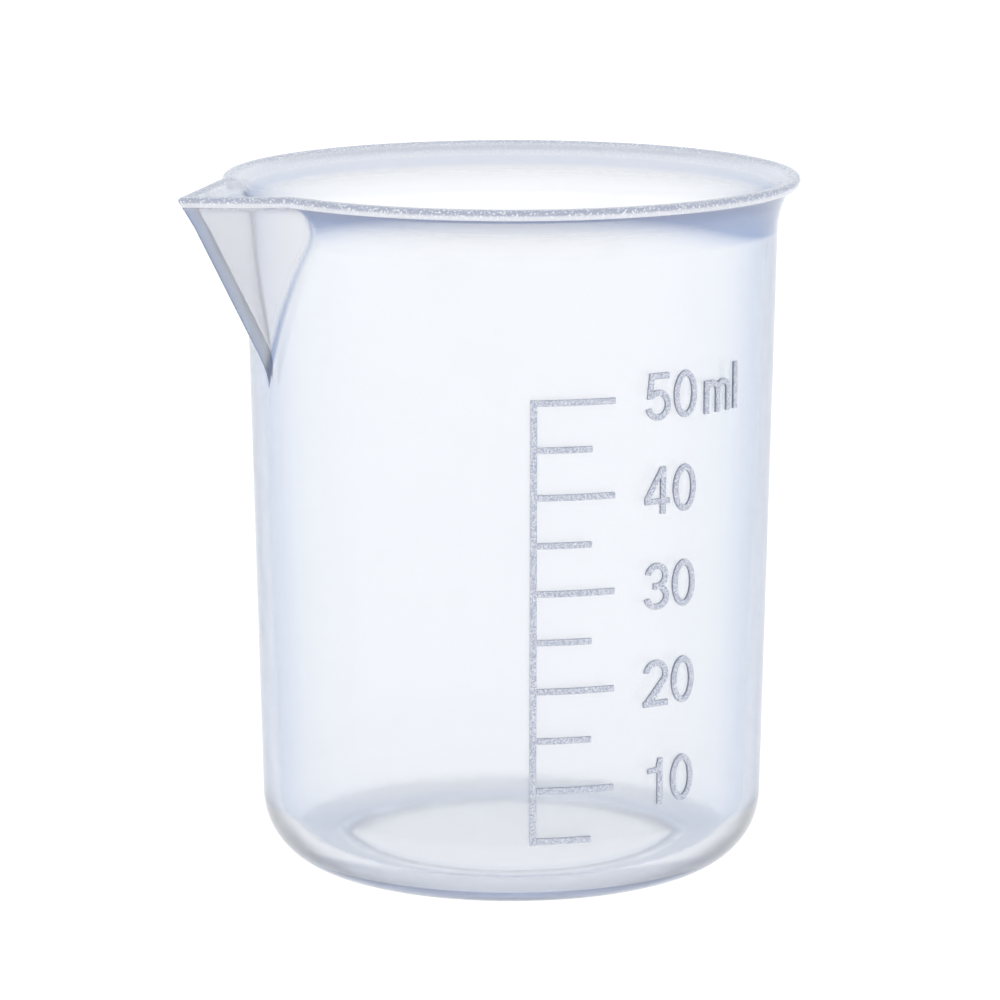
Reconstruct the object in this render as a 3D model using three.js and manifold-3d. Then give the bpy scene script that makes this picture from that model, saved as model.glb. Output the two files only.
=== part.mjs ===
// A 50 ml laboratory beaker, injection moulded in one shot of translucent polypropylene.
// Millimetres, +Z up. The origin is on the vessel's axis, in the plane that the foot ring
// stands on. The pouring spout points to -X and the graduated scale faces -Y.
// The scale line, the marks and the numerals are raised features of the same moulding. Each
// has its own mesh, so that it can be found by name and finished apart from the smooth wall.

import * as THREE from 'three';
import { mergeVertices } from 'three/addons/utils/BufferGeometryUtils.js';
import Module from 'manifold-3d';

const wasm = await Module();
wasm.setup();

// ---- Driving dimensions -------------------------------------------------------------------

// Vessel
const baseRadius = 20.64; // outer wall, produced down to the standing plane
const outerLean = 0.0234; // outward lean of the outer wall for each mm of height
const innerLean = 0.029; // the same for the inner wall, so the wall thins towards the rim
const baseWall = 1.3; // wall thickness, produced down to the standing plane
const cornerRadius = 5.8; // rounded bottom corner, outside
const floorThickness = 1.3;
const footHeight = 0.4; // recess under the floor, inside the foot ring
const footWidth = 1.2; // flat of the foot ring
const headroom = 15.5; // from the fullest mark to the top of the rim

// Rim
const flareRadius = 6.8; // outer face of the flare, from the wall out to the lip
const flareHeight = 3.6;
const lipHeight = 0.85;
const lipOverhang = 0.75; // lip edge beyond the top of the flare
const lipFlat = 0.55; // flat top of the lip
const lipRound = 0.35; // rounding of the lip's outer edges
const lipBevel = 0.35; // drop of the bevel inside the lip

// Pouring spout: two flat panels that meet in a sharp, leaning nose
const spoutReach = 5.8; // nose beyond the lip's edge, at the top
const spoutDrop = 15.5; // from the rim down to where the nose leaves the wall
const spoutWall = 1.1;
const spoutDip = 0.5; // fall of the spout's lip, from the rim out to the nose
const spoutSpread = 28.3; // degrees from the nose to where a panel meets the wall, at the top
const spoutLipSpread = 18.7; // degrees from the nose to where the spout's lip meets the rim's

// Scale
const mlPerMark = 5;
const markCount = 10;
const numeralEvery = 2; // each second mark is long and numbered
const scaleAngle = -110; // degrees round from +X to the scale line
const lineWidth = 0.55;
const lineTail = 0.35; // scale line below its lowest mark
const markWidth = 0.5;
const longMark = 6.6; // along the wall, from the middle of the scale line
const shortMark = 4.7;
const relief = 0.25; // how far the scale stands out
const seam = 0.05; // clearance between a raised feature and what it is moulded onto

// Lettering
const numeralSpace = 2.65; // from the end of a long mark to its numeral
const numeralHeight = 3.85;
const numeralWidth = 2.35;
const numeralGap = 0.35; // between two digits
const stroke = 0.5;
const unitSpace = 0.9; // from the last digit to the unit
const unitHeight = 2.7; // letter m
const unitWidth = 3.2;
const unitGap = 0.5; // between the letters m and l
const bowOverlap = 5; // degrees by which the two halves of a closed bow run into each other
const oneIndent = 0.2; // the narrow 1 stands this share of a numeral's width to the right

// Fineness
const roundSegments = 72;
const cornerSegments = 7;
const flareSegments = 4;
const edgeSegments = 3;
const bowSegments = 10;
const cutClearance = 1; // how far a cutting shape runs past the face it opens
const mergeDistance = 1e-4; // vertices nearer than this are one
const volumeSlices = 200; // for working out the contents
const halvings = 40; // for finding a fill height

// ---- Materials ------------------------------------------------------------------------------

const clearPlastic = new THREE.MeshStandardMaterial({
  name: 'translucent_polypropylene',
  color: 0xe9eefa,
  roughness: 0.22,
  metalness: 0,
  transparent: true,
  opacity: 0.35,
});

const frostedPlastic = new THREE.MeshStandardMaterial({
  name: 'frosted_relief',
  color: 0xc9cedc,
  roughness: 0.6,
  metalness: 0,
  transparent: true,
  opacity: 0.85,
});

// ---- Sizes that follow from the driving ones --------------------------------------------------

const radians = THREE.MathUtils.degToRad;
const floorTop = footHeight + floorThickness;
const innerCorner = cornerRadius - baseWall;

const outerWall = (z) => baseRadius + outerLean * z;
const innerWall = (z) => baseRadius - baseWall + innerLean * z;
const wallAt = (z) => outerWall(z) - innerWall(z);

// Middle of the round corner between a level floor and a leaning wall.
function cornerCentre(wall, lean, floor, radius) {
  const z = floor + radius;
  return new THREE.Vector2(wall(z) - radius * Math.hypot(1, lean), z);
}

const outerCentre = cornerCentre(outerWall, outerLean, 0, cornerRadius);
const innerCentre = cornerCentre(innerWall, innerLean, floorTop, innerCorner);

// Radius of a face at height z: its rounded corner low down, and the leaning wall above it.
function faceRadius(wall, centre, corner, z) {
  if (z >= centre.y) return wall(z);
  return centre.x + Math.sqrt(corner ** 2 - (centre.y - z) ** 2);
}

const outerRadius = (z) => faceRadius(outerWall, outerCentre, cornerRadius, z);
const innerRadius = (z) => faceRadius(innerWall, innerCentre, innerCorner, z);

// Contents of the vessel, in ml, when it is filled to height z.
function contents(z) {
  const step = (z - floorTop) / volumeSlices;
  let cubicMm = 0;
  for (let i = 0; i < volumeSlices; i += 1) {
    cubicMm += Math.PI * innerRadius(floorTop + (i + 0.5) * step) ** 2 * step;
  }
  return cubicMm / 1000;
}

// Height at which the vessel holds the given volume, by halving the interval.
function fillHeight(ml) {
  let low = floorTop;
  let high = floorTop + (1000 * ml) / (Math.PI * innerCentre.x ** 2);
  for (let i = 0; i < halvings; i += 1) {
    const middle = (low + high) / 2;
    if (contents(middle) < ml) low = middle;
    else high = middle;
  }
  return low;
}

const height = fillHeight(mlPerMark * markCount) + headroom;
const flareStart = height - lipHeight - flareHeight;
const flareOut = (radius, rise) => radius - Math.sqrt(radius ** 2 - rise ** 2);
const innerFlareRadius = flareRadius + wallAt(flareStart);
const innerFlareHeight = lipHeight - lipBevel + flareHeight;

const flareTop = outerWall(height - lipHeight) + flareOut(flareRadius, flareHeight);
const rimRadius = flareTop + lipOverhang;
const lipInner = rimRadius - lipRound - lipFlat;
const noseRadius = rimRadius + spoutReach;
const noseLean = (noseRadius - outerWall(height - spoutDrop)) / spoutDrop;

// ---- Shape helpers ----------------------------------------------------------------------------

// Points of an arc about (x, y), angles in degrees.
function arc(x, y, radius, from, to, segments) {
  const curve = new THREE.EllipseCurve(x, y, radius, radius, radians(from), radians(to), to < from);
  return curve.getPoints(segments);
}

function toSolid(geometry) {
  geometry.deleteAttribute('normal');
  geometry.deleteAttribute('uv');
  const merged = mergeVertices(geometry, mergeDistance);
  return new wasm.Manifold(new wasm.Mesh({
    numProp: 3,
    vertProperties: new Float32Array(merged.attributes.position.array),
    triVerts: new Uint32Array(merged.index.array),
  }));
}

function toGeometry(solid) {
  const mesh = solid.getMesh();
  const geometry = new THREE.BufferGeometry();
  geometry.setAttribute('position', new THREE.BufferAttribute(mesh.vertProperties, 3));
  geometry.setIndex(new THREE.BufferAttribute(mesh.triVerts, 1));
  geometry.computeVertexNormals();
  return geometry;
}

// A solid of revolution about Z. The profile runs from the axis at the bottom, up the outside,
// and back to the axis at the top.
function turned(profile) {
  const geometry = new THREE.LatheGeometry(profile, roundSegments);
  geometry.rotateX(Math.PI / 2);
  return toSolid(geometry);
}

// ---- Vessel -----------------------------------------------------------------------------------

function outsideProfile() {
  const footOuter = outerCentre.x;
  const wallStart = -THREE.MathUtils.radToDeg(Math.atan(outerLean));
  const points = [
    new THREE.Vector2(0, footHeight),
    new THREE.Vector2(footOuter - footWidth, footHeight),
    new THREE.Vector2(footOuter - footWidth, 0),
    ...arc(footOuter, outerCentre.y, cornerRadius, -90, wallStart, cornerSegments),
  ];
  for (let i = 0; i <= flareSegments; i += 1) {
    const rise = (flareHeight * i) / flareSegments;
    const z = flareStart + rise;
    points.push(new THREE.Vector2(outerWall(z) + flareOut(flareRadius, rise), z));
  }
  const edge = rimRadius - lipRound;
  points.push(
    ...arc(edge, height - lipHeight + lipRound, lipRound, -90, 0, edgeSegments),
    ...arc(edge, height - lipRound, lipRound, 0, 90, edgeSegments),
    new THREE.Vector2(0, height),
  );
  return points;
}

function insideProfile() {
  const wallStart = -THREE.MathUtils.radToDeg(Math.atan(innerLean));
  const points = [
    new THREE.Vector2(0, floorTop),
    ...arc(innerCentre.x, innerCentre.y, innerCorner, -90, wallStart, cornerSegments),
  ];
  for (let i = 0; i <= flareSegments; i += 1) {
    const rise = (innerFlareHeight * i) / flareSegments;
    const z = flareStart + rise;
    points.push(new THREE.Vector2(innerWall(z) + flareOut(innerFlareRadius, rise), z));
  }
  points.push(
    new THREE.Vector2(lipInner, height),
    new THREE.Vector2(lipInner, height + cutClearance),
    new THREE.Vector2(0, height + cutClearance),
  );
  return points;
}

// Half the angle between the spout's two faces, for a face that runs from the nose to the
// point on a circle of the given radius that lies spread degrees round from the nose.
function halfAngle(radius, spread) {
  const turn = radians(spread);
  return Math.atan2(radius * Math.sin(turn), noseRadius - radius * Math.cos(turn));
}

// A leaning wedge with its sharp edge along the nose, set back by inset on both faces. Its back
// corners are the points of the two faces that are nearest to the axis, inside the wall.
function noseWedge(angle, inset, low, high) {
  const nose = noseRadius - inset / Math.sin(angle);
  const backX = -nose * Math.sin(angle) ** 2;
  const backY = nose * Math.sin(angle) * Math.cos(angle);
  const outline = new THREE.Shape([
    new THREE.Vector2(-nose, 0),
    new THREE.Vector2(backX, -backY),
    new THREE.Vector2(backX, backY),
  ]);
  const geometry = new THREE.ExtrudeGeometry(outline, { depth: high - low, bevelEnabled: false });
  geometry.translate(0, 0, low - height);
  geometry.applyMatrix4(new THREE.Matrix4().makeShear(0, 0, 0, 0, -noseLean, 0));
  geometry.translate(0, 0, height);
  return toSolid(geometry);
}

// What lies above the spout's lip, which falls from the rim out to the nose.
function aboveSpoutLip() {
  const start = -rimRadius * Math.cos(radians(spoutLipSpread));
  const end = 2 * (-noseRadius - start) + start;
  const outline = new THREE.Shape([
    new THREE.Vector2(start, height),
    new THREE.Vector2(end, height + cutClearance),
    new THREE.Vector2(end, height - 2 * spoutDip),
  ]);
  const width = 2 * rimRadius;
  const geometry = new THREE.ExtrudeGeometry(outline, { depth: width, bevelEnabled: false });
  geometry.translate(0, 0, -width / 2);
  geometry.rotateX(Math.PI / 2);
  return toSolid(geometry);
}

function vessel() {
  const panelAngle = halfAngle(outerWall(height), spoutSpread);
  const lipAngle = halfAngle(rimRadius, spoutLipSpread);
  const wedgeFoot = height - spoutDrop - cutClearance;
  const blank = turned(outsideProfile())
    .add(noseWedge(panelAngle, 0, wedgeFoot, height))
    .add(noseWedge(lipAngle, 0, height - lipHeight, height));
  const hollow = turned(insideProfile())
    .add(noseWedge(panelAngle, spoutWall, wedgeFoot, height + cutClearance));
  return toGeometry(blank.subtract(hollow).subtract(aboveSpoutLip()));
}

// ---- Raised scale -----------------------------------------------------------------------------

// Bends a flat piece of relief round the wall: x runs along the wall to the right of the scale
// line as seen from outside, y is the height, and z stands out of the wall.
function wrapRound(geometry) {
  const position = geometry.attributes.position;
  for (let i = 0; i < position.count; i += 1) {
    const z = position.getY(i);
    const angle = radians(scaleAngle) + position.getX(i) / outerRadius(z);
    const radius = outerRadius(z) + seam + position.getZ(i);
    position.setXYZ(i, radius * Math.cos(angle), radius * Math.sin(angle), z);
  }
  geometry.computeVertexNormals();
  return geometry;
}

// A raised bar with square ends, divided each millimetre or so to follow the wall's curve.
function reliefBar(left, right, low, high) {
  const across = Math.ceil(right - left);
  const up = Math.ceil(high - low);
  const geometry = new THREE.BoxGeometry(right - left, high - low, relief, across, up, 1);
  geometry.translate((left + right) / 2, (low + high) / 2, relief / 2);
  return wrapRound(geometry);
}

function raised(shape) {
  return toSolid(new THREE.ExtrudeGeometry(shape, {
    depth: relief,
    bevelEnabled: false,
    curveSegments: bowSegments,
  }));
}

// A straight upright or level stroke.
function bar(left, right, low, high) {
  return raised(new THREE.Shape([
    new THREE.Vector2(left, low),
    new THREE.Vector2(right, low),
    new THREE.Vector2(right, high),
    new THREE.Vector2(left, high),
  ]));
}

// A stroke bent round an oval, from one angle to another, in degrees anticlockwise from the right.
function bow(x, y, halfWidth, halfHeight, from, to) {
  const shape = new THREE.Shape();
  shape.absellipse(x, y, halfWidth, halfHeight, radians(from), radians(to), false);
  shape.absellipse(x, y, halfWidth - stroke, halfHeight - stroke, radians(to), radians(from), true);
  return raised(shape);
}

function outline(corners, hole) {
  const shape = new THREE.Shape(corners.map(([x, y]) => new THREE.Vector2(x, y)));
  if (hole) shape.holes.push(new THREE.Path(hole.map(([x, y]) => new THREE.Vector2(x, y))));
  return raised(shape);
}

// Sans-serif characters, each with its lower left corner at (0, 0).
const characters = {
  0() {
    const x = numeralWidth / 2;
    const y = numeralHeight / 2;
    const upper = bow(x, y, x, y, -bowOverlap, 180 + bowOverlap);
    return upper.add(bow(x, y, x, y, 180 - bowOverlap, 360 + bowOverlap));
  },
  1() {
    const right = numeralWidth * 0.6;
    const flag = numeralHeight * 0.68;
    return outline([
      [0, flag], [right - stroke, flag], [right - stroke, 0], [right, 0],
      [right, numeralHeight], [right - stroke * 0.85, numeralHeight],
      [right - stroke * 1.2, flag + stroke], [0, flag + stroke * 0.8],
    ]);
  },
  2() {
    const x = numeralWidth / 2;
    const y = numeralHeight - x;
    const slant = stroke * 1.25;
    return bow(x, y, x, x, -38, 172)
      .add(outline([
        [0, 0], [slant, 0], [numeralWidth - stroke * 0.35, y - x * 0.5],
        [numeralWidth - stroke * 1.15, y - x * 0.25], [0, stroke * 0.7],
      ]))
      .add(bar(0, numeralWidth, 0, stroke));
  },
  3() {
    const x = numeralWidth / 2;
    const upper = (numeralHeight + stroke) / 4;
    const lower = (numeralHeight + stroke) / 2 - upper;
    return bow(x, numeralHeight - upper, x * 0.93, upper, -95, 170)
      .add(bow(x, lower, x, lower, -170, 95))
      .add(bar(x * 0.72, x, 2 * lower - stroke, 2 * lower));
  },
  4() {
    const right = numeralWidth * 0.83;
    const left = right - stroke;
    const low = numeralHeight * 0.22;
    const high = low + stroke * 0.9;
    return outline(
      [
        [left, 0], [right, 0], [right, low], [numeralWidth, low], [numeralWidth, high],
        [right, high], [right, numeralHeight], [left, numeralHeight], [0, high + 0.1], [0, low],
        [left, low],
      ],
      [[left, high], [stroke * 0.95, high], [left, numeralHeight - stroke * 1.75]],
    );
  },
  5() {
    const x = numeralWidth / 2;
    const bowl = numeralHeight * 0.325;
    const shoulder = numeralHeight * 0.46;
    return bow(x, bowl, x, bowl, -165, 140)
      .add(bar(stroke * 0.7, numeralWidth * 0.93, numeralHeight - stroke, numeralHeight))
      .add(outline([
        [stroke * 0.3, shoulder], [stroke * 1.2, shoulder],
        [stroke * 1.65, numeralHeight], [stroke * 0.7, numeralHeight],
      ]));
  },
  m() {
    const arch = (unitWidth + stroke) / 4;
    const legs = [0, 1, 2].map((i) => {
      const left = (i * (unitWidth - stroke)) / 2;
      return bar(left, left + stroke, 0, i === 0 ? unitHeight : unitHeight - arch);
    });
    const arches = [arch, unitWidth - arch].map((x) => (
      bow(x, unitHeight - arch, arch, arch, -bowOverlap, 180)
    ));
    return [...legs, ...arches].reduce((whole, piece) => whole.add(piece));
  },
  l() {
    return bar(0, stroke, 0, numeralHeight);
  },
};

function lettering(character, left, low) {
  const geometry = toGeometry(characters[character]());
  geometry.translate(left, low, 0);
  return wrapRound(geometry);
}

// ---- The beaker -------------------------------------------------------------------------------

const beaker = new THREE.Group();

function addPart(name, geometry, material) {
  const mesh = new THREE.Mesh(geometry, material);
  mesh.name = name;
  beaker.add(mesh);
}

addPart('beaker_body', vessel(), clearPlastic);

const numeralStart = longMark + numeralSpace;
const numeralPitch = numeralWidth + numeralGap;
const lowestMark = fillHeight(mlPerMark);
const highestMark = fillHeight(mlPerMark * markCount);
addPart(
  'scale_line',
  reliefBar(-lineWidth / 2, lineWidth / 2, lowestMark - lineTail, highestMark + markWidth / 2),
  frostedPlastic,
);

for (let i = 1; i <= markCount; i += 1) {
  const ml = i * mlPerMark;
  const z = fillHeight(ml);
  const numbered = i % numeralEvery === 0;
  const end = numbered ? longMark : shortMark;
  const start = lineWidth / 2 + seam;
  addPart(`mark_${ml}_ml`, reliefBar(start, end, z - markWidth / 2, z + markWidth / 2), frostedPlastic);
  if (numbered) {
    const low = z - numeralHeight / 2;
    [...String(ml)].forEach((digit, place) => {
      const indent = digit === '1' ? numeralWidth * oneIndent : 0;
      const left = numeralStart + place * numeralPitch + indent;
      const name = `numeral_${ml}_${place === 0 ? 'tens' : 'units'}`;
      addPart(name, lettering(digit, left, low), frostedPlastic);
    });
  }
}

const unitStart = numeralStart + 2 * numeralPitch - numeralGap + unitSpace;
const unitLow = highestMark - numeralHeight / 2;
addPart('unit_m', lettering('m', unitStart, unitLow), frostedPlastic);
addPart('unit_l', lettering('l', unitStart + unitWidth + unitGap, unitLow), frostedPlastic);

export default beaker;
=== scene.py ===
"""A 50 ml beaker of translucent natural polypropylene, finished round its CAD frame.

Metres, +Z up, with the vessel's axis on Z and the standing plane at 0. The spout points to -X
and the raised scale faces -Y. The sizes below are in millimetres."""

import math

import bmesh
import bpy
from mathutils import Euler, Matrix, Vector


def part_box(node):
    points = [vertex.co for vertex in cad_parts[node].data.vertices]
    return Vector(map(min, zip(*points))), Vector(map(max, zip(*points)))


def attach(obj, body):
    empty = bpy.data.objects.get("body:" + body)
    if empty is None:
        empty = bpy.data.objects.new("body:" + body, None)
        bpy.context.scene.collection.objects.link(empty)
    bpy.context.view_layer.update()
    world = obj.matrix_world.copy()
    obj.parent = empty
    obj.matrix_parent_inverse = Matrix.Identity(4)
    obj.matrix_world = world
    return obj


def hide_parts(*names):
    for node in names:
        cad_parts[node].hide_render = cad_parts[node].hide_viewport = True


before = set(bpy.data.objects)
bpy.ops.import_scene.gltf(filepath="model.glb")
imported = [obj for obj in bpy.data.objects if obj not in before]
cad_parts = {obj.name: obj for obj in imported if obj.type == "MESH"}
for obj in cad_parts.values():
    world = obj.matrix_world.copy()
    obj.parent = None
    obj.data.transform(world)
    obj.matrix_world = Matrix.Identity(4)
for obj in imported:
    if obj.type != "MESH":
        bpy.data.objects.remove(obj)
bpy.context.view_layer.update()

MM = 0.001

# ---- Sizes of the moulding ---------------------------------------------------------------------

body_low, body_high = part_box("beaker_body")
HEIGHT = body_high.z / MM
RIM_RADIUS = body_high.y / MM
TIP_RADIUS = -body_low.x / MM  # to the spout's nose, where it has dipped below the rim

BASE_RADIUS = 20.64  # outer wall, produced down to the standing plane
OUTER_LEAN = 0.0234
INNER_LEAN = 0.029
BASE_WALL = 1.3
CORNER = 5.8
FLOOR = 1.3
FOOT_HEIGHT = 0.4
FOOT_WIDTH = 1.2
FOOT_ROUND = 0.15
FOOT_SHADE_TURN = 40  # degrees of the bottom corner painted with the foot's shade
FOOT_FADE = 5  # degrees over which it clears above that
RING_TURN = 3  # degrees of the inner corner for each step into the ring's shade
RING_EDGE = 0.2  # the floor clears over this width, inside the foot ring
POLE_SHARE = 0.15  # radius of the first ring round each pole, as a share of the floor's

FLARE_RADIUS = 6.8
FLARE_HEIGHT = 3.6
LIP_HEIGHT = 0.85
LIP_FLAT = 0.55
LIP_ROUND = 0.35
LIP_BEVEL = 0.35
LIP_SHOWS = 0.3  # inside, the flare is as cloudy as the lip from this far below it

SPOUT_DROP = 15.5
SPOUT_WALL = 1.1
SPOUT_DIP = 0.5  # how far the nose hangs below the rim
DIP_TURN = 18.7  # degrees round from the nose where the rim starts to dip
DIP_DEPTH = 3.0  # the dip is felt this far down the spout
DIP_FADE = 2.5  # and fades over this much of it
PANEL_ANGLE = 45.6  # degrees, half the angle between the two panels
LIP_ANGLE = 47.0
FILLET = 0.6  # how far each way a panel runs into the round wall
FLATTEST = 1.45  # radians, the widest angle of panel to radius that a fillet is sized for
NOSE_ROUND = 0.3  # degrees of turn over which the nose is rounded

# How cloudy each thick or doubled part of the moulding looks: 0 is the plain wall, 1 is milky.
# The crease, flare and foot values are painted shade rather than cloudiness.
LIP_MILK = 1.0
LIP_EDGE_MILK = 0.92
NOSE_MILK = 0.55
FLARE_SHADE_MILK = 0.32
LIP_INSIDE_MILK = 0.9
PANEL_MILK = 0.28
CREASE_SHADE_MILK = 0.25
FOOT_SHADE_MILK = 0.35
NOSE_BAND = 1.2  # reach of the cloudy band to each side of the nose
NOSE_FADE = 0.5
MILK_STEP = 0.01  # two cloudy values closer than this are the same

# How much the colour darkens where the moulding is seen at a slant: 1 on the wall, which is the
# plastic's own haze. Values above 1 are painted shade: in the creases, on the flare under the
# lip, at the nose and on the foot.
FLOOR_HAZE = 0.0
CORNER_HAZE = 0.3
FOOT_SHADE = 3.2
RING_SHADE = 0.95  # the foot ring's shade, painted on the floor where the ring shows through
FLARE_SHADE = 3.2
CREASE_SHADE = 3.4
NOSE_SHADE = 3.0
CREASE_SHADE_BAND = 0.9  # reach of the band of painted shade to each side of a panel's edge

RELIEF = 0.25  # how far the scale stands out of the wall
RELIEF_ROUND = 0.05
SHORT_EDGE = 0.025  # facet edges below this are merged before the rounding
FLAT_TURN = 1  # degrees between facets that count as one flat face
SHARP_TURN = 50  # degrees between faces whose shared edge is rounded


def outer_wall(z):
    return BASE_RADIUS + OUTER_LEAN * z


def inner_wall(z):
    return BASE_RADIUS - BASE_WALL + INNER_LEAN * z


def flare_reach(radius, rise):
    """How far an arc that leaves the wall smoothly has come out after this rise."""
    return radius - math.sqrt(radius ** 2 - rise ** 2)


FLOOR_TOP = FOOT_HEIGHT + FLOOR
FLARE_START = HEIGHT - LIP_HEIGHT - FLARE_HEIGHT
FLARE_STEPS = 12
SPOUT_FOOT = HEIGHT - SPOUT_DROP - 1.0  # the wall is plain up to here
NOSE_LEAN = (TIP_RADIUS - outer_wall(HEIGHT - SPOUT_DROP)) / (SPOUT_DROP - SPOUT_DIP)
NOSE_RADIUS = TIP_RADIUS + SPOUT_DIP * NOSE_LEAN


# ---- The vessel --------------------------------------------------------------------------------

class Section:
    """The moulding's section, drawn as one line in the XZ plane with x as the radius.

    Each vertex remembers how the spout bends its row: the half angle of the V there, how far
    the row is set back inside the V, and whether it is under the lip. It also remembers how
    cloudy the moulding is there, and how its colour darkens at a slant, by the plastic's haze
    and by painted shade."""

    def __init__(self, bm, x, z):
        self.bm = bm
        self.angle = bm.verts.layers.float.new("angle")
        self.inset = bm.verts.layers.float.new("inset")
        self.under = bm.verts.layers.float.new("under")
        self.milk = bm.verts.layers.float.new("milk")
        self.haze_and_shade = bm.verts.layers.float.new("haze_and_shade")
        self.pen = bm.verts.new((x, 0, z))
        self.row(PANEL_ANGLE, 0, haze_and_shade=FLOOR_HAZE)

    def row(self, angle, inset, under=0, milk=0, haze_and_shade=1):
        """What the pen's vertex remembers, and those drawn after it until the next row."""
        self.pen[self.angle] = angle
        self.pen[self.inset] = inset
        self.pen[self.under] = under
        self.pen[self.milk] = milk
        self.pen[self.haze_and_shade] = haze_and_shade

    def line(self, x, z, steps=1):
        """A straight line to (x, z)."""
        start = self.pen.co.copy()
        end = Vector((x, 0, z))
        for i in range(1, steps + 1):
            made = bmesh.ops.extrude_vert_indiv(self.bm, verts=[self.pen])["verts"][0]
            made.co = start.lerp(end, i / steps)
            self.pen = made

    def turn(self, x, z, degrees, steps):
        """An arc about (x, z). Positive turns from +X towards +Z."""
        for _ in range(steps):
            made = bmesh.ops.extrude_vert_indiv(self.bm, verts=[self.pen])["verts"][0]
            spin = Matrix.Rotation(math.radians(-degrees / steps), 3, "Y")
            centre = Vector((x, 0, z))
            made.co = centre + spin @ (made.co - centre)
            self.pen = made


def draw_section(bm):
    """Underside, foot, corner, wall, flare and lip, then back down the inside to the floor."""
    lean_out = math.degrees(math.atan(OUTER_LEAN))
    lean_in = math.degrees(math.atan(INNER_LEAN))
    corner_x = outer_wall(CORNER) - CORNER * math.hypot(1, OUTER_LEAN)
    foot_inner = corner_x - FOOT_WIDTH
    section = Section(bm, 0, FOOT_HEIGHT)
    section.line(foot_inner * POLE_SHARE, FOOT_HEIGHT)
    section.line(foot_inner - FOOT_ROUND, FOOT_HEIGHT, 6)
    section.turn(foot_inner - FOOT_ROUND, FOOT_HEIGHT - FOOT_ROUND, -90, 4)
    # painted shade on the foot ring and on the bottom of the corner above it
    section.row(PANEL_ANGLE, 0, milk=FOOT_SHADE_MILK, haze_and_shade=FOOT_SHADE)
    section.line(foot_inner, FOOT_ROUND, 2)
    section.turn(foot_inner + FOOT_ROUND, FOOT_ROUND, 90, 4)
    section.line(corner_x, 0, 3)
    section.turn(corner_x, CORNER, FOOT_SHADE_TURN, 5)
    section.turn(corner_x, CORNER, FOOT_FADE, 1)
    section.row(PANEL_ANGLE, 0, haze_and_shade=CORNER_HAZE)
    section.turn(corner_x, CORNER, 90 - FOOT_FADE - FOOT_SHADE_TURN - lean_out, 12)
    section.row(PANEL_ANGLE, 0)
    section.line(outer_wall(SPOUT_FOOT), SPOUT_FOOT, 18)
    section.line(outer_wall(FLARE_START), FLARE_START, 30)
    # painted shade under the lip: the flare darkens soon after it starts
    for i in range(1, FLARE_STEPS + 1):
        rise = FLARE_HEIGHT * i / FLARE_STEPS
        z = FLARE_START + rise
        section.line(outer_wall(z) + flare_reach(FLARE_RADIUS, rise), z)
        share = (i / FLARE_STEPS) ** 0.7
        section.row(
            PANEL_ANGLE, 0, milk=FLARE_SHADE_MILK * share, haze_and_shade=1 + (FLARE_SHADE - 1) * share)
    # the lip, in rows that each keep their own set-back from the rim
    lip_low = HEIGHT - LIP_HEIGHT
    edge = RIM_RADIUS - LIP_ROUND
    section.line(edge, lip_low)
    section.row(LIP_ANGLE, LIP_ROUND, under=1, milk=LIP_EDGE_MILK)
    for _ in range(5):
        section.turn(edge, lip_low + LIP_ROUND, 18, 1)
        section.row(LIP_ANGLE, RIM_RADIUS - section.pen.co.x, under=1, milk=LIP_EDGE_MILK)
    section.line(RIM_RADIUS, HEIGHT - LIP_ROUND)
    section.row(LIP_ANGLE, 0, milk=LIP_MILK)
    for _ in range(5):
        section.turn(edge, HEIGHT - LIP_ROUND, 18, 1)
        section.row(LIP_ANGLE, RIM_RADIUS - section.pen.co.x, milk=LIP_MILK)
    section.line(edge - LIP_FLAT, HEIGHT)
    section.row(LIP_ANGLE, RIM_RADIUS - section.pen.co.x, milk=LIP_MILK)
    # the inner flare, cloudy where the lip is behind it
    inner_height = LIP_HEIGHT - LIP_BEVEL + FLARE_HEIGHT
    inner_radius = FLARE_RADIUS + outer_wall(FLARE_START) - inner_wall(FLARE_START)
    cloudy_from = HEIGHT - LIP_HEIGHT - LIP_SHOWS
    for i in range(FLARE_STEPS, -1, -1):
        rise = inner_height * i / FLARE_STEPS
        z = FLARE_START + rise
        section.line(inner_wall(z) + flare_reach(inner_radius, rise), z)
        share = min((z - FLARE_START) / (cloudy_from - FLARE_START), 1)
        section.row(PANEL_ANGLE, SPOUT_WALL, milk=LIP_INSIDE_MILK * share ** 3)
    section.line(inner_wall(SPOUT_FOOT), SPOUT_FOOT, 30)
    # the inner corner and the floor, with the foot ring's shade painted where it shows through
    inner_corner = CORNER - BASE_WALL
    inner_x = inner_wall(FLOOR_TOP + inner_corner) - inner_corner * math.hypot(1, INNER_LEAN)
    start_x = inner_x + inner_corner * math.cos(math.radians(lean_in))
    start_z = FLOOR_TOP + inner_corner - inner_corner * math.sin(math.radians(lean_in))
    section.line(start_x, start_z, 18)
    section.turn(inner_x, FLOOR_TOP + inner_corner, -(90 - 2 * RING_TURN - lean_in), 14)
    section.row(PANEL_ANGLE, SPOUT_WALL, haze_and_shade=CORNER_HAZE)
    section.turn(inner_x, FLOOR_TOP + inner_corner, -RING_TURN, 1)
    section.row(PANEL_ANGLE, SPOUT_WALL, haze_and_shade=RING_SHADE)
    section.turn(inner_x, FLOOR_TOP + inner_corner, -RING_TURN, 1)
    section.line(foot_inner - RING_EDGE, FLOOR_TOP, 3)
    section.line(foot_inner - 2 * RING_EDGE, FLOOR_TOP)
    section.row(PANEL_ANGLE, SPOUT_WALL, haze_and_shade=FLOOR_HAZE)
    section.line(inner_x * POLE_SHARE, FLOOR_TOP, 8)
    section.line(0, FLOOR_TOP)
    return section


def clamped(value):
    """A value kept between 0 and 1."""
    return min(max(value, 0), 1)


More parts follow.
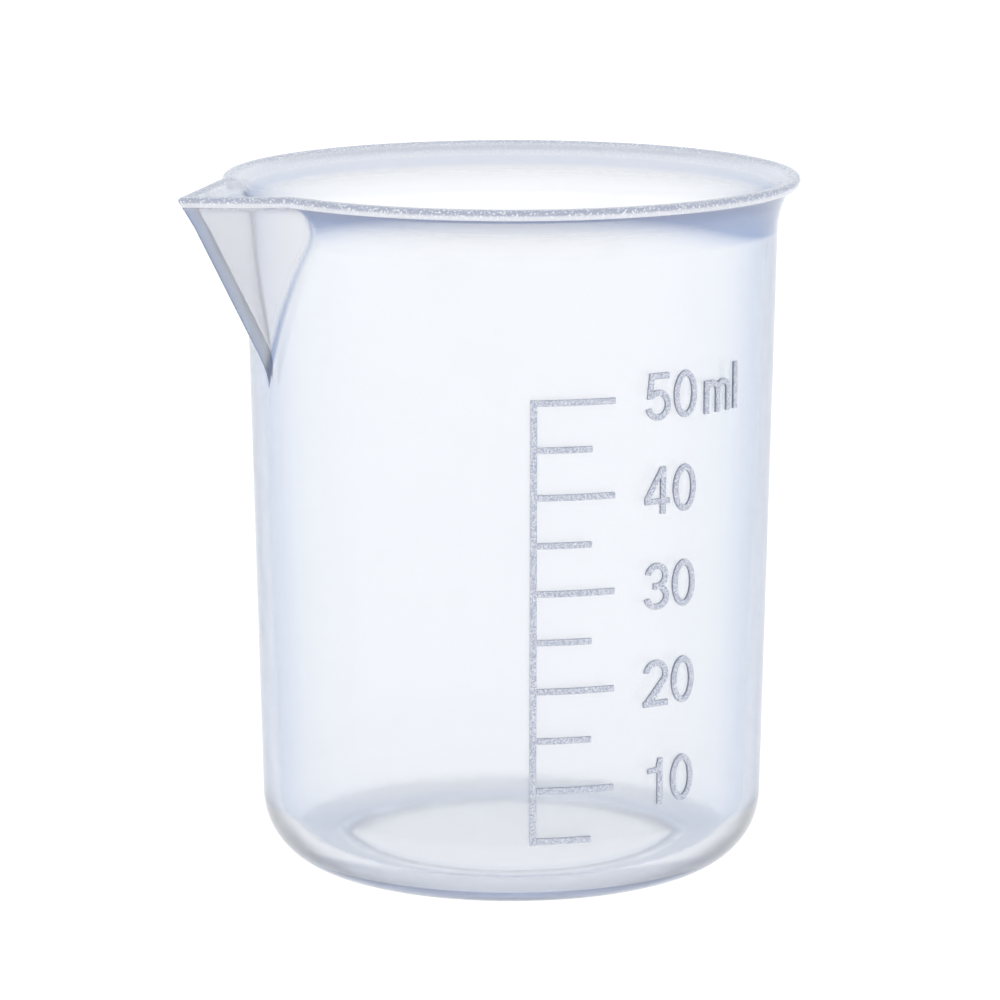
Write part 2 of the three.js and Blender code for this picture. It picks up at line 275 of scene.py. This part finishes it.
def closeness(a, b, width):
    """1 where two values are the same, down to 0 where they are width apart."""
    return max(width - abs(a - b), 0) / width


def smooth_max(a, b, width):
    """The larger of two values, with a rounded change from one to the other."""
    return max(a, b) + closeness(a, b, width) ** 2 * width / 4


def v_face(nose, half_angle, turn):
    """Distance from the axis to a flat panel that runs back from the nose, turn radians round."""
    spread = half_angle + math.hypot(turn, math.radians(NOSE_ROUND))
    return nose * math.sin(half_angle) / math.sin(min(spread, math.pi / 2))


def bend_spout(bm, section):
    """Pushes the round wall out into the V of the pouring spout, and paints shade along its
    creases and nose.
    """
    dip_start = RIM_RADIUS * math.cos(math.radians(DIP_TURN))
    for vert in bm.verts:
        x, y, z = vert.co
        radius = math.hypot(x, y)
        if z < SPOUT_FOOT - 1:
            continue
        turn = abs(math.atan2(y, -x))
        nose = NOSE_RADIUS - (HEIGHT - z) * NOSE_LEAN
        angle = math.radians(vert[section.angle])
        inset = vert[section.inset]
        panel = v_face(nose - inset / math.sin(angle), angle, turn)
        # how fast the two draw apart along the wall
        parting = 1 / math.tan(min(angle + turn, FLATTEST))
        fillet = FILLET * parting
        new = smooth_max(radius, panel, fillet)
        # the lip and the inside behind it keep their own milk
        if vert[section.milk] < LIP_INSIDE_MILK - MILK_STEP:
            on_panel = clamped((panel - radius) / fillet)
            # painted shade along the crease where a panel meets the round wall
            crease_shade = closeness(radius, panel, CREASE_SHADE_BAND * parting)
            milk = vert[section.milk] * (1 - on_panel) + PANEL_MILK * on_panel
            haze_and_shade = vert[section.haze_and_shade] * (1 - on_panel) + on_panel
            vert[section.milk] = max(milk, CREASE_SHADE_MILK * crease_shade)
            vert[section.haze_and_shade] = max(haze_and_shade, CREASE_SHADE * crease_shade)
            if inset < SPOUT_WALL / 2:
                # painted shade down the nose band, together with the nose's own cloudiness
                near = clamped((NOSE_BAND - new * math.sin(turn)) / NOSE_FADE) * on_panel
                vert[section.milk] = max(vert[section.milk], NOSE_MILK * near)
                vert[section.haze_and_shade] = max(vert[section.haze_and_shade], NOSE_SHADE * near)
        # under the lip a row may not sink into the wall below it
        if vert[section.under]:
            body = outer_wall(z) + flare_reach(FLARE_RADIUS, FLARE_HEIGHT)
            below = v_face(nose, math.radians(PANEL_ANGLE), turn)
            new = max(new, smooth_max(body, below, fillet))
        vert.co.x *= new / radius
        vert.co.y *= new / radius
        reach = (-vert.co.x - dip_start) / (NOSE_RADIUS - dip_start)
        if reach > 0:
            vert.co.z -= SPOUT_DIP * reach * clamped((z - (HEIGHT - DIP_DEPTH)) / DIP_FADE)


def mesh_object(name, bm, smooth=True):
    """Makes an object of a finished bmesh, and frees the bmesh."""
    mesh = bpy.data.meshes.new(name)
    for face in bm.faces:
        face.smooth = smooth
    bm.to_mesh(mesh)
    bm.free()
    piece = bpy.data.objects.new(name, mesh)
    bpy.context.scene.collection.objects.link(piece)
    return piece


def make_vessel():
    """The whole moulding without its scale: the section spun round, then bent into the spout."""
    bm = bmesh.new()
    section = draw_section(bm)
    # start at the nose, and go round in sectors of (degrees, steps), finest beside the nose
    bmesh.ops.rotate(bm, verts=bm.verts[:], matrix=Matrix.Rotation(math.pi, 3, "Z"))
    sectors = [(1, 5), (31, 62), (148, 74), (148, 74), (31, 62), (1, 5)]
    moving = bm.verts[:] + bm.edges[:]
    for degrees, steps in sectors:
        made = bmesh.ops.spin(
            bm, geom=moving, cent=(0, 0, 0), axis=(0, 0, 1),
            angle=math.radians(degrees), steps=steps)
        moving = made["geom_last"]
    bmesh.ops.remove_doubles(bm, verts=bm.verts[:], dist=1e-4)
    bend_spout(bm, section)
    bmesh.ops.scale(bm, verts=bm.verts[:], vec=(MM, MM, MM))
    bmesh.ops.recalc_face_normals(bm, faces=bm.faces[:])
    vessel = mesh_object("moulded_vessel", bm)
    vessel.data.materials.append(moulded_polypropylene())
    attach(vessel, "root")
    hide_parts("beaker_body")


# ---- The raised scale --------------------------------------------------------------------------

def make_relief(name, node, frosted):
    """A mark or numeral with the rounded edges that a mould gives it. Each vertex remembers
    how proud of the wall it stands, from 0 on the wall to 1 on the face; the frosted material
    paints shade on the sides from it."""
    bm = bmesh.new()
    bm.from_mesh(node.data)
    bmesh.ops.remove_doubles(bm, verts=bm.verts[:], dist=1e-6)
    bmesh.ops.dissolve_degenerate(bm, dist=SHORT_EDGE * MM, edges=bm.edges[:])
    bmesh.ops.dissolve_limit(
        bm, angle_limit=math.radians(FLAT_TURN), verts=bm.verts[:], edges=bm.edges[:])
    sharp = [edge for edge in bm.edges if edge.calc_face_angle(0) > math.radians(SHARP_TURN)]
    bmesh.ops.bevel(
        bm, geom=sharp, offset=RELIEF_ROUND * MM, segments=2, profile=0.5, affect="EDGES",
        material=-1, clamp_overlap=False)
    proud = bm.verts.layers.float.new("proud")
    for vert in bm.verts:
        x, y, z = vert.co / MM
        vert[proud] = (math.hypot(x, y) - outer_wall(z)) / RELIEF
    piece = mesh_object(name + "_frosted", bm, smooth=False)
    piece.data.materials.append(frosted)
    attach(piece, "root")
    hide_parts(name)


# ---- Materials ---------------------------------------------------------------------------------

def srgb(text):
    """An sRGB hex value as linear colour."""
    parts = [int(text[i:i + 2], 16) / 255 for i in (1, 3, 5)]
    linear = [c / 12.92 if c <= 0.04045 else ((c + 0.055) / 1.055) ** 2.4 for c in parts]
    return (*linear, 1)


def add_node(material, kind, settings=None, **inputs):
    """Adds a node. settings are its properties; inputs are values, or sockets to link."""
    tree = material.node_tree
    node = tree.nodes.new(kind)
    for key, value in (settings or {}).items():
        setattr(node, key, value)
    for key, value in inputs.items():
        label = key.replace("_", " ")
        socket = next(s for s in node.inputs if s.enabled and s.name == label)
        if isinstance(value, bpy.types.NodeSocket):
            tree.links.new(value, socket)
        else:
            socket.default_value = value
    return node


def set_ramp(node, stops):
    """Gives a colour ramp its stops, each a place from 0 to 1 and an sRGB hex colour."""
    elements = node.color_ramp.elements
    while len(elements) < len(stops):
        elements.new(0.5)
    for element, (position, colour) in zip(elements, stops):
        element.position = position
        element.color = srgb(colour)


def new_material(name):
    material = bpy.data.materials.new(name)
    material.use_nodes = True
    material.node_tree.nodes.clear()
    return material


def moulded_polypropylene():
    """Natural polypropylene, injection moulded in a polished mould. The eye sees a clear wall
    with a bluish haze that deepens at a slant, cloudy thick parts, a soft gloss and faint flow
    ripples. Base Color carries the haze, painted shade in the creases, under the lip, at the nose
    and on the foot, and painted glints on the lip; milk makes the thick parts less clear, and
    also carries some of that painted shade."""
    material = new_material("moulded_natural_polypropylene")
    place = add_node(material, "ShaderNodeTexCoord").outputs["Object"]
    # flow ripples of about 7 mm, which is 1 / 150 of a metre
    flow = add_node(material, "ShaderNodeTexNoise", Vector=place, Scale=150.0, Detail=2.0)
    bump = add_node(
        material, "ShaderNodeBump", Height=flow.outputs["Fac"], Strength=0.15, Distance=0.0001)
    slant = add_node(material, "ShaderNodeLayerWeight", Blend=0.5).outputs["Facing"]
    haze_and_shade = add_node(material, "ShaderNodeAttribute", {"attribute_name": "haze_and_shade"}).outputs["Fac"]
    # the slant darkening is the plastic's haze on the wall, and painted shade where the attribute
    # rises above 1
    glance = add_node(
        material, "ShaderNodeMix", {"clamp_factor": False}, A=0.0, B=slant,
        Factor=haze_and_shade).outputs["Result"]
    haze_and_shade_tint = add_node(material, "ShaderNodeValToRGB", Fac=glance)
    set_ramp(haze_and_shade_tint, [
        (0.2, "#fdfdfe"), (0.45, "#f6f8fb"), (0.62, "#e4eaf5"), (0.78, "#c1cde5"),
        (1.0, "#5f80b8")])
    milk = add_node(material, "ShaderNodeAttribute", {"attribute_name": "milk"}).outputs["Fac"]
    # painted glints: white specks in the lip's colour stand in for its sparkle, which is finer
    # than this in the real one; 0.2 mm is the least that shows
    grain = add_node(material, "ShaderNodeTexNoise", Vector=place, Scale=5000.0, Detail=1.0)
    lip_glint_mask = add_node(
        material, "ShaderNodeMapRange", Value=milk, From_Min=0.87, From_Max=0.91)
    painted_glint = add_node(
        material, "ShaderNodeMapRange", Value=grain.outputs["Fac"], From_Min=0.52, From_Max=0.68,
        To_Max=lip_glint_mask.outputs["Result"])
    # the low stops also give the painted shade of the creases, flare and foot; the high ones the
    # lip's cloudiness
    cloudy = add_node(material, "ShaderNodeValToRGB", Fac=milk)
    set_ramp(cloudy, [
        (0.3, "#e4e1e4"), (0.5, "#cdd7ee"), (0.85, "#e9ecf6"), (0.92, "#f0f0f6"),
        (1.0, "#b9bdce")])
    cloud_and_glints = add_node(
        material, "ShaderNodeMix", {"data_type": "RGBA"}, Factor=painted_glint.outputs["Result"],
        A=cloudy.outputs["Color"], B=srgb("#ffffff")).outputs[2]  # the colour output
    tint = add_node(
        material, "ShaderNodeMix", {"data_type": "RGBA"}, Factor=milk,
        A=haze_and_shade_tint.outputs["Color"], B=cloud_and_glints).outputs[2]
    clear = add_node(
        material, "ShaderNodeMapRange", Value=milk, To_Min=0.9, To_Max=0.2)
    surface = add_node(
        material, "ShaderNodeBsdfPrincipled", Base_Color=tint, Roughness=0.1,
        IOR=1.49, Transmission_Weight=clear.outputs["Result"], Normal=bump.outputs["Normal"])
    depth = add_node(
        material, "ShaderNodeVolumeAbsorption", Color=srgb("#89b6e7"), Density=30.0)
    add_node(
        material, "ShaderNodeOutputMaterial", Surface=surface.outputs[0], Volume=depth.outputs[0])
    return material


def frosted_relief():
    """The same polypropylene, moulded against the spark-eroded figures of the mould. The eye
    sees a matt, pale grain; the darker edges where the relief leaves the wall are painted shade."""
    material = new_material("frosted_polypropylene")
    place = add_node(material, "ShaderNodeTexCoord").outputs["Object"]
    # spark erosion left pits of about 0.12 mm in the mould
    grain = add_node(material, "ShaderNodeTexNoise", Vector=place, Scale=8500.0, Detail=2.0)
    frost = add_node(material, "ShaderNodeValToRGB", Fac=grain.outputs["Fac"])
    set_ramp(frost, [(0.4, "#b4b9cc"), (0.5, "#d3d7e4"), (0.62, "#f4f5fb")])
    proud = add_node(material, "ShaderNodeAttribute", {"attribute_name": "proud"}).outputs["Fac"]
    # painted shade: the sides of each mark, up to just over half its height, shade into a dark
    # blue-grey
    face = add_node(material, "ShaderNodeMapRange", Value=proud, From_Min=0.55, From_Max=1.0)
    tint = add_node(
        material, "ShaderNodeMix", {"data_type": "RGBA"}, Factor=face.outputs["Result"],
        A=srgb("#9299b0"), B=frost.outputs["Color"]).outputs[2]  # the colour output
    bump = add_node(
        material, "ShaderNodeBump", Height=grain.outputs["Fac"], Strength=0.4, Distance=0.00004)
    surface = add_node(
        material, "ShaderNodeBsdfPrincipled", Base_Color=tint, Roughness=0.5,
        IOR=1.49, Transmission_Weight=0.2, Normal=bump.outputs["Normal"])
    add_node(material, "ShaderNodeOutputMaterial", Surface=surface.outputs[0])
    return material


def white_paper():
    """Matt white paper lit from below, as on a light table: nearly no shadow shows on it."""
    material = new_material("white_paper_sweep")
    surface = add_node(
        material, "ShaderNodeBsdfPrincipled", Base_Color=srgb("#7c7c7c"), Roughness=1.0,
        Emission_Color=srgb("#ffffff"), Emission_Strength=0.95)
    add_node(material, "ShaderNodeOutputMaterial", Surface=surface.outputs[0])
    return material


# ---- Floor, light and camera -------------------------------------------------------------------

def make_floor():
    """A sheet that is wide enough to fill every view."""
    bm = bmesh.new()
    bmesh.ops.create_circle(bm, cap_ends=True, segments=64, radius=8.0)
    floor = mesh_object("paper_floor", bm, smooth=False)
    floor.data.materials.append(white_paper())


def make_light():
    """Even, slightly cool light from all round, as in a light tent."""
    world = bpy.data.worlds.new("light_tent")
    bpy.context.scene.world = world
    world.use_nodes = True
    tent = world.node_tree.nodes["Background"]
    tent.inputs["Color"].default_value = srgb("#f7fbff")
    tent.inputs["Strength"].default_value = 1.0


def make_camera():
    """A long lens, a little above the rim and to the spout's side of the scale."""
    data = bpy.data.cameras.new("camera")
    data.lens = 189.1
    data.sensor_width = 36
    data.shift_x = -0.0115
    camera = bpy.data.objects.new("camera", data)
    bpy.context.scene.collection.objects.link(camera)
    aim = math.radians(-24.6)
    look_down = 10.651
    distance = 0.4287
    height = 0.1108
    camera.location = (distance * math.sin(aim), -distance * math.cos(aim), height)
    camera.rotation_euler = Euler((math.radians(90 - look_down), 0, aim))
    data.clip_start = 0.01
    data.clip_end = 50
    bpy.context.scene.camera = camera


make_vessel()
frosted = frosted_relief()
for name, node in list(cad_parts.items()):
    if name != "beaker_body":
        make_relief(name, node, frosted)
make_floor()
make_light()
make_camera()
bpy.context.scene.view_settings.view_transform = "Standard"
